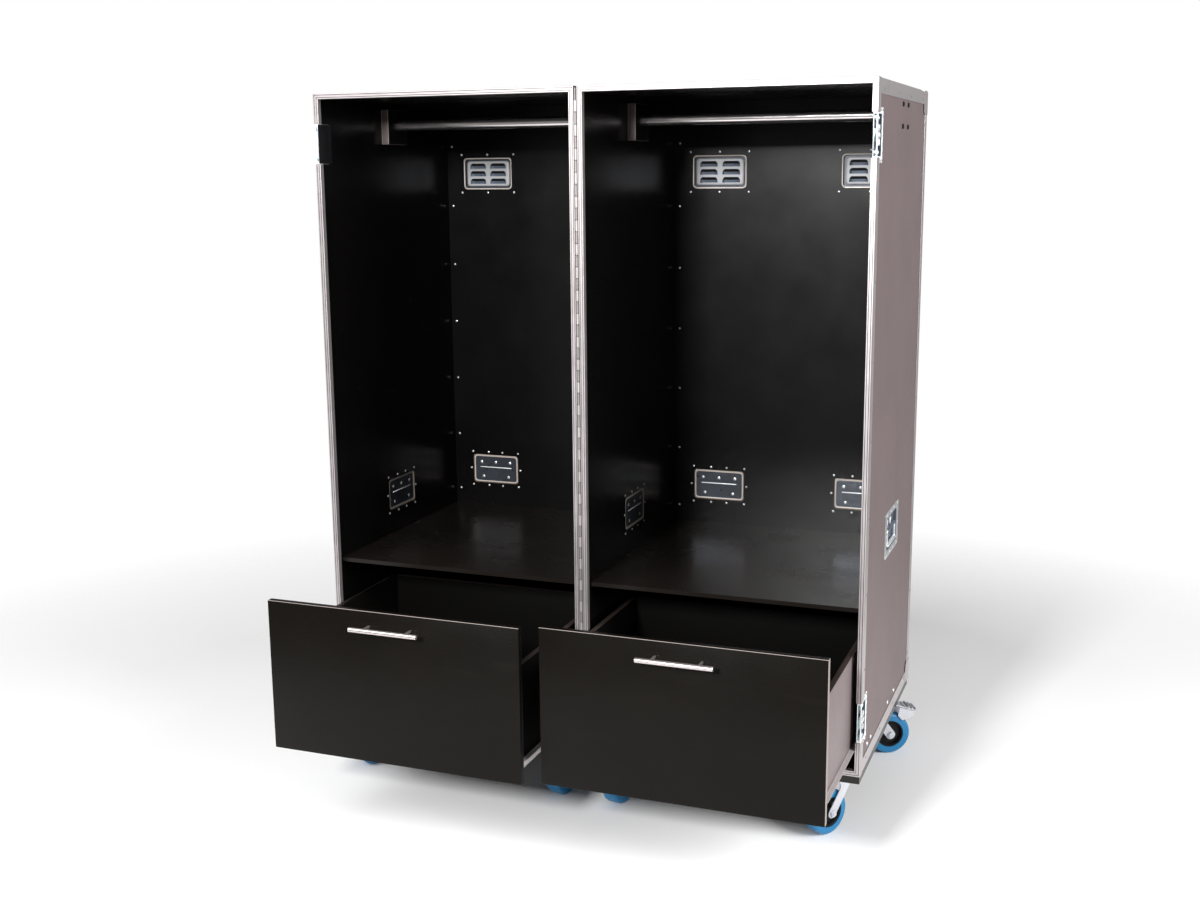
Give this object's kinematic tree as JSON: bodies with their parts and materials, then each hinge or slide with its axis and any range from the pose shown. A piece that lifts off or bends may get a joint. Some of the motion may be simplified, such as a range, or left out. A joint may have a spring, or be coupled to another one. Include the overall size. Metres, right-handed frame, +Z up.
{
  "type": "wardrobe trunk",
  "caption": "Tall wardrobe trunk on castors that opens like a book: two hinged halves, each with a hanging rail and shelf over a pull-out drawer.",
  "frame": {"origin": "centre of the bounding box on the floor, with the halves side by side, the drawers pulled out and the castors as stored", "axes": "+X from the left half to the right half, -Y out of the open trunk towards the user, +Z up"},
  "size_m": [1.2936, 0.9582, 1.5652],
  "materials": {
    "phenolic_ply": "phenolic film-faced plywood, fine texture",
    "dark_ply": "dark film-faced plywood",
    "drawer_front_ply": "dark satin board with pale cut edges",
    "birch_ply": "pale plywood",
    "aluminium_edge": "extruded, mill finish",
    "rail_steel": "zinc-plated tube",
    "stainless": "brushed stainless steel",
    "blue_tyre": "blue elastic tyre on a black hub",
    "castor_zinc": "zinc-plated pressed steel",
    "runner_steel": "pale coated steel",
    "zinc_steel": "zinc-plated steel",
    "zinc_sheet": "zinc-plated sheet steel"
  },
  "bodies": {
    "left_case": {"outer_side_left": "phenolic_ply", "hinge_side_left": "phenolic_ply", "back_panel_left": "phenolic_ply", "top_panel_left": "phenolic_ply", "base_left": "dark_ply", "shelf_left": "dark_ply", "closing_frame_left": "aluminium_edge", "edge_angles_left": "aluminium_edge", "clothes_rail_left": "rail_steel", "dishes_left": "zinc_sheet", "castor_plates_left": "castor_zinc", "case_runners_left": "runner_steel", "hinge_leaf_left": "zinc_sheet"},
    "right_case": {"outer_side_right": "phenolic_ply", "hinge_side_right": "phenolic_ply", "back_panel_right": "phenolic_ply", "top_panel_right": "phenolic_ply", "base_right": "dark_ply", "shelf_right": "dark_ply", "closing_frame_right": "aluminium_edge", "edge_angles_right": "aluminium_edge", "clothes_rail_right": "rail_steel", "dishes_right": "zinc_sheet", "castor_plates_right": "castor_zinc", "case_runners_right": "runner_steel", "hinge_leaf_right": "zinc_sheet"},
    "left_drawer": {"drawer_front_left": "drawer_front_ply", "drawer_box_left": "birch_ply", "drawer_handle_left": "stainless", "drawer_runners_left": "runner_steel"},
    "right_drawer": {"drawer_front_right": "drawer_front_ply", "drawer_box_right": "birch_ply", "drawer_handle_right": "stainless", "drawer_runners_right": "runner_steel"},
    "fork_front_outer_left": {"castor_fork_front_outer_left": "castor_zinc"},
    "wheel_front_outer_left": {"castor_wheel_front_outer_left": "blue_tyre"},
    "fork_front_inner_left": {"castor_fork_front_inner_left": "castor_zinc"},
    "wheel_front_inner_left": {"castor_wheel_front_inner_left": "blue_tyre"},
    "fork_rear_outer_left": {"castor_fork_rear_outer_left": "castor_zinc"},
    "wheel_rear_outer_left": {"castor_wheel_rear_outer_left": "blue_tyre"},
    "fork_rear_inner_left": {"castor_fork_rear_inner_left": "castor_zinc"},
    "wheel_rear_inner_left": {"castor_wheel_rear_inner_left": "blue_tyre"},
    "fork_front_outer_right": {"castor_fork_front_outer_right": "castor_zinc"},
    "wheel_front_outer_right": {"castor_wheel_front_outer_right": "blue_tyre"},
    "fork_front_inner_right": {"castor_fork_front_inner_right": "castor_zinc"},
    "wheel_front_inner_right": {"castor_wheel_front_inner_right": "blue_tyre"},
    "fork_rear_outer_right": {"castor_fork_rear_outer_right": "castor_zinc"},
    "wheel_rear_outer_right": {"castor_wheel_rear_outer_right": "blue_tyre"},
    "fork_rear_inner_right": {"castor_fork_rear_inner_right": "castor_zinc"},
    "wheel_rear_inner_right": {"castor_wheel_rear_inner_right": "blue_tyre"},
    "bail_outer_right": {"bail_outer_right": "zinc_steel"},
    "bail_outer_left": {"bail_outer_left": "zinc_steel"},
    "bail_back_outer_right": {"bail_back_outer_right": "zinc_steel"},
    "bail_back_inner_right": {"bail_back_inner_right": "zinc_steel"},
    "bail_back_outer_left": {"bail_back_outer_left": "zinc_steel"},
    "bail_back_inner_left": {"bail_back_inner_left": "zinc_steel"},
    "latch_wing_lower": {"latch_wing_lower": "zinc_steel"},
    "latch_hook_lower": {"latch_hook_lower": "zinc_steel"},
    "latch_wing_upper": {"latch_wing_upper": "zinc_steel"},
    "latch_hook_upper": {"latch_hook_upper": "zinc_steel"}
  },
  "joints": [
    {"name": "fold", "type": "hinge", "parent": "left_case", "child": "right_case", "pos_m": [0, -0.1501, 0.864], "axis": [0, 0, -1], "range_deg": [0, 5.5]},
    {"name": "left_drawer_slide", "type": "slide", "parent": "left_case", "child": "left_drawer", "axis": [0, -1, 0], "range_m": [-0.334, 0.041]},
    {"name": "right_drawer_slide", "type": "slide", "parent": "right_case", "child": "right_drawer", "axis": [0, -1, 0], "range_m": [-0.314, 0.061]},
    {"name": "swivel_front_outer_left", "type": "hinge", "parent": "left_case", "child": "fork_front_outer_left", "pos_m": [-0.547, -0.0501, 0.13], "axis": [0, 0, 1], "continuous": true},
    {"name": "roll_front_outer_left", "type": "hinge", "parent": "fork_front_outer_left", "child": "wheel_front_outer_left", "pos_m": [-0.56657, -0.08267, 0.05], "axis": [0.8572, -0.515, 0], "continuous": true},
    {"name": "swivel_front_inner_left", "type": "hinge", "parent": "left_case", "child": "fork_front_inner_left", "pos_m": [-0.069, -0.0501, 0.13], "axis": [0, 0, 1], "continuous": true},
    {"name": "roll_front_inner_left", "type": "hinge", "parent": "fork_front_inner_left", "child": "wheel_front_inner_left", "pos_m": [-0.0756, -0.08752, 0.05], "axis": [0.9848, -0.1736, 0], "continuous": true},
    {"name": "swivel_rear_outer_left", "type": "hinge", "parent": "left_case", "child": "fork_rear_outer_left", "pos_m": [-0.547, 0.3779, 0.13], "axis": [0, 0, 1], "continuous": true},
    {"name": "roll_rear_outer_left", "type": "hinge", "parent": "fork_rear_outer_left", "child": "wheel_rear_outer_left", "pos_m": [-0.58055, 0.39574, 0.05], "axis": [-0.4695, -0.8829, 0], "continuous": true},
    {"name": "swivel_rear_inner_left", "type": "hinge", "parent": "left_case", "child": "fork_rear_inner_left", "pos_m": [-0.069, 0.3779, 0.13], "axis": [0, 0, 1], "continuous": true},
    {"name": "roll_rear_inner_left", "type": "hinge", "parent": "fork_rear_inner_left", "child": "wheel_rear_inner_left", "pos_m": [-0.0756, 0.34048, 0.05], "axis": [0.9848, -0.1736, 0], "continuous": true},
    {"name": "swivel_front_outer_right", "type": "hinge", "parent": "right_case", "child": "fork_front_outer_right", "pos_m": [0.547, -0.0501, 0.13], "axis": [0, 0, 1], "continuous": true},
    {"name": "roll_front_outer_right", "type": "hinge", "parent": "fork_front_outer_right", "child": "wheel_front_outer_right", "pos_m": [0.52743, -0.08267, 0.05], "axis": [0.8572, -0.515, 0], "continuous": true},
    {"name": "swivel_front_inner_right", "type": "hinge", "parent": "right_case", "child": "fork_front_inner_right", "pos_m": [0.069, -0.0501, 0.13], "axis": [0, 0, 1], "continuous": true},
    {"name": "roll_front_inner_right", "type": "hinge", "parent": "fork_front_inner_right", "child": "wheel_front_inner_right", "pos_m": [0.0624, -0.08752, 0.05], "axis": [0.9848, -0.1736, 0], "continuous": true},
    {"name": "swivel_rear_outer_right", "type": "hinge", "parent": "right_case", "child": "fork_rear_outer_right", "pos_m": [0.547, 0.3779, 0.13], "axis": [0, 0, 1], "continuous": true},
    {"name": "roll_rear_outer_right", "type": "hinge", "parent": "fork_rear_outer_right", "child": "wheel_rear_outer_right", "pos_m": [0.58055, 0.39574, 0.05], "axis": [-0.4695, 0.8829, 0], "continuous": true},
    {"name": "swivel_rear_inner_right", "type": "hinge", "parent": "right_case", "child": "fork_rear_inner_right", "pos_m": [0.069, 0.3779, 0.13], "axis": [0, 0, 1], "continuous": true},
    {"name": "roll_rear_inner_right", "type": "hinge", "parent": "fork_rear_inner_right", "child": "wheel_rear_inner_right", "pos_m": [0.0624, 0.34048, 0.05], "axis": [0.9848, -0.1736, 0], "continuous": true},
    {"name": "bail_outer_right_swing", "type": "hinge", "parent": "right_case", "child": "bail_outer_right", "pos_m": [0.6093, 0.1639, 0.622], "axis": [0, -1, 0], "range_deg": [0, 90]},
    {"name": "bail_outer_left_swing", "type": "hinge", "parent": "left_case", "child": "bail_outer_left", "pos_m": [-0.6093, 0.1639, 0.622], "axis": [0, 1, 0], "range_deg": [0, 90]},
    {"name": "bail_back_outer_right_swing", "type": "hinge", "parent": "right_case", "child": "bail_back_outer_right", "pos_m": [0.486, 0.4742, 0.622], "axis": [1, 0, 0], "range_deg": [0, 90]},
    {"name": "bail_back_inner_right_swing", "type": "hinge", "parent": "right_case", "child": "bail_back_inner_right", "pos_m": [0.13, 0.4742, 0.622], "axis": [1, 0, 0], "range_deg": [0, 90]},
    {"name": "bail_back_outer_left_swing", "type": "hinge", "parent": "left_case", "child": "bail_back_outer_left", "pos_m": [-0.486, 0.4742, 0.622], "axis": [1, 0, 0], "range_deg": [0, 90]},
    {"name": "bail_back_inner_left_swing", "type": "hinge", "parent": "left_case", "child": "bail_back_inner_left", "pos_m": [-0.13, 0.4742, 0.622], "axis": [1, 0, 0], "range_deg": [0, 90]},
    {"name": "latch_lower_turn", "type": "hinge", "parent": "right_case", "child": "latch_wing_lower", "pos_m": [0.606, -0.1241, 0.281], "axis": [1, 0, 0], "range_deg": [0, 180]},
    {"name": "latch_lower_hook", "type": "slide", "parent": "right_case", "child": "latch_hook_lower", "axis": [0, -1, 0], "range_m": [0, 0.0141]},
    {"name": "latch_upper_turn", "type": "hinge", "parent": "right_case", "child": "latch_wing_upper", "pos_m": [0.606, -0.1241, 1.457], "axis": [1, 0, 0], "range_deg": [0, 180]},
    {"name": "latch_upper_hook", "type": "slide", "parent": "right_case", "child": "latch_hook_upper", "axis": [0, -1, 0], "range_m": [0, 0.0141]}
  ],
  "couplings": [
    {"joint": "latch_lower_hook", "follows": "latch_lower_turn", "m_per_rad": 0.0044563},
    {"joint": "latch_upper_hook", "follows": "latch_upper_turn", "m_per_rad": 0.0044563}
  ]
}
